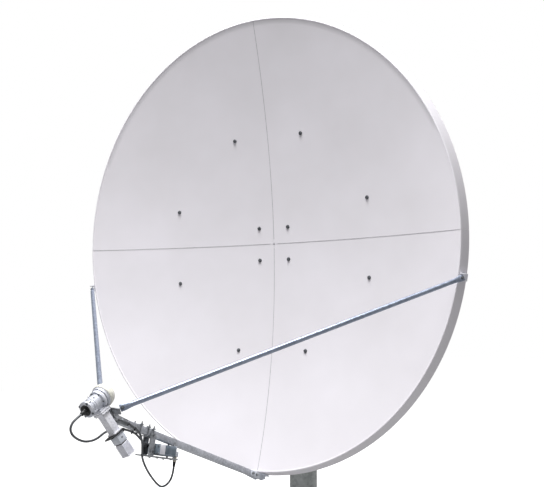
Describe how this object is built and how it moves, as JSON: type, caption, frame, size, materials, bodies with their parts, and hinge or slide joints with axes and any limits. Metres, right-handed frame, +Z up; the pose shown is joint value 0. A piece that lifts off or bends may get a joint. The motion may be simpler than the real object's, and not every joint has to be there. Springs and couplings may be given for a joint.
{
  "type": "satellite earth station antenna",
  "caption": "Offset-fed satellite earth-station antenna: a petalled white dish with its feed on a boom and side struts, aimed by an azimuth and elevation head on a pipe mast.",
  "frame": {"origin": "middle of the base plate's underside, on the mast's axis", "axes": "+Z up the mast; the reflector looks towards -Y; +X is to the right of someone who faces the reflector's front"},
  "size_m": [2.45, 2.3354, 3.3764],
  "materials": {
    "dish_gelcoat": "matt white moulded sheet compound",
    "galvanised_steel": "hot-dip galvanised, weathered",
    "galvanised_tube": "hot-dip galvanised box section",
    "plated_fastener": "zinc plated",
    "zinc_tube": "galvanised square tube",
    "strut_tube": "bright round tube",
    "cast_aluminium": "cast and machined",
    "white_paint": "white powder coat",
    "cream_plastic": "satin moulded",
    "black_plastic": "satin moulded",
    "grey_paint": "grey powder-coated casting",
    "lead_jacket": "satin cable jacket"
  },
  "bodies": {
    "mast": {"mast_base_plate": "galvanised_steel", "mast_pipe": "galvanised_steel"},
    "azimuth_clamp": {"azimuth_collar": "galvanised_steel", "collar_clamp_bolt": "plated_fastener"},
    "azimuth_head": {"azimuth_canister": "galvanised_steel", "canister_lock_bolt": "plated_fastener", "elevation_shaft": "plated_fastener", "shaft_nut": "plated_fastener"},
    "push_bolt_left": {"azimuth_push_bolt_left": "plated_fastener"},
    "push_bolt_right": {"azimuth_push_bolt_right": "plated_fastener"},
    "elevation_frame": {"elevation_yoke": "galvanised_steel", "hub_frame": "galvanised_steel", "rod_pin": "plated_fastener", "back_arm_right": "galvanised_tube", "back_arm_top": "galvanised_tube", "back_arm_left": "galvanised_tube", "back_arm_bottom": "galvanised_tube", "petal_upper_right": "dish_gelcoat", "petal_upper_left": "dish_gelcoat", "petal_lower_left": "dish_gelcoat", "petal_lower_right": "dish_gelcoat", "reflector_bolt_upper_right_hub": "plated_fastener", "reflector_bolt_upper_right_side": "plated_fastener", "reflector_bolt_upper_right_top": "plated_fastener", "reflector_bolt_upper_left_hub": "plated_fastener", "reflector_bolt_upper_left_side": "plated_fastener", "reflector_bolt_upper_left_top": "plated_fastener", "reflector_bolt_lower_left_hub": "plated_fastener", "reflector_bolt_lower_left_side": "plated_fastener", "reflector_bolt_lower_left_top": "plated_fastener", "reflector_bolt_lower_right_hub": "plated_fastener", "reflector_bolt_lower_right_side": "plated_fastener", "reflector_bolt_lower_right_top": "plated_fastener", "feed_boom": "zinc_tube", "boom_foot_bracket": "galvanised_steel", "feed_bracket": "galvanised_steel", "feed_clamp_ring": "cast_aluminium", "strut_left": "strut_tube", "strut_right": "strut_tube", "strut_foot_left": "galvanised_steel", "strut_foot_right": "galvanised_steel", "buc_housing": "grey_paint", "buc_bracket": "galvanised_steel", "transmit_lead": "lead_jacket", "receive_lead": "lead_jacket"},
    "jack_rod": {"elevation_rod": "plated_fastener"},
    "trunnion": {"trunnion_block": "galvanised_steel", "jack_nut_upper": "plated_fastener", "jack_nut_lower": "plated_fastener"},
    "feed": {"horn_cap": "cream_plastic", "feed_horn": "white_paint", "omt_body": "cast_aluminium", "transmit_gland": "black_plastic", "receive_filter": "white_paint", "weather_plate": "black_plastic", "low_noise_converter": "white_paint"}
  },
  "joints": [
    {"name": "coarse_azimuth", "type": "hinge", "parent": "mast", "child": "azimuth_clamp", "pos_m": [0, 0, 1.45], "axis": [0, 0, 1], "continuous": true},
    {"name": "fine_azimuth", "type": "hinge", "parent": "azimuth_clamp", "child": "azimuth_head", "pos_m": [0, 0, 1.65], "axis": [0, 0, 1], "range_deg": [-8, 8]},
    {"name": "push_left", "type": "slide", "parent": "azimuth_head", "child": "push_bolt_left", "axis": [1, 0, 0], "range_m": [-0.0185, 0.0185]},
    {"name": "push_right", "type": "slide", "parent": "azimuth_head", "child": "push_bolt_right", "axis": [1, 0, 0], "range_m": [-0.0185, 0.0185]},
    {"name": "elevation", "type": "hinge", "parent": "azimuth_head", "child": "elevation_frame", "pos_m": [0, 0, 2.065], "axis": [-1, 0, 0], "range_deg": [-16.25, 68.75]},
    {"name": "rod_hinge", "type": "hinge", "parent": "elevation_frame", "child": "jack_rod", "pos_m": [0.16535, -0.29809, 1.90146], "axis": [-1, 0, 0], "range_deg": [-35, 9]},
    {"name": "trunnion_hinge", "type": "hinge", "parent": "azimuth_head", "child": "trunnion", "pos_m": [0.16535, -0.088, 1.73659], "axis": [-1, 0, 0], "range_deg": [-9, 35]},
    {"name": "polarisation", "type": "hinge", "parent": "elevation_frame", "child": "feed", "pos_m": [0, -1.92107, 1.26069], "axis": [0, -0.8914, -0.4532], "range_deg": [-20, 70]}
  ],
  "couplings": [
    {"joint": "push_left", "follows": "fine_azimuth", "m_per_rad": 0.125},
    {"joint": "push_right", "follows": "fine_azimuth", "m_per_rad": 0.125},
    {"joint": "trunnion_hinge", "follows": "elevation", "ratio": 0.5},
    {"joint": "rod_hinge", "follows": "elevation", "ratio": -0.5}
  ]
}
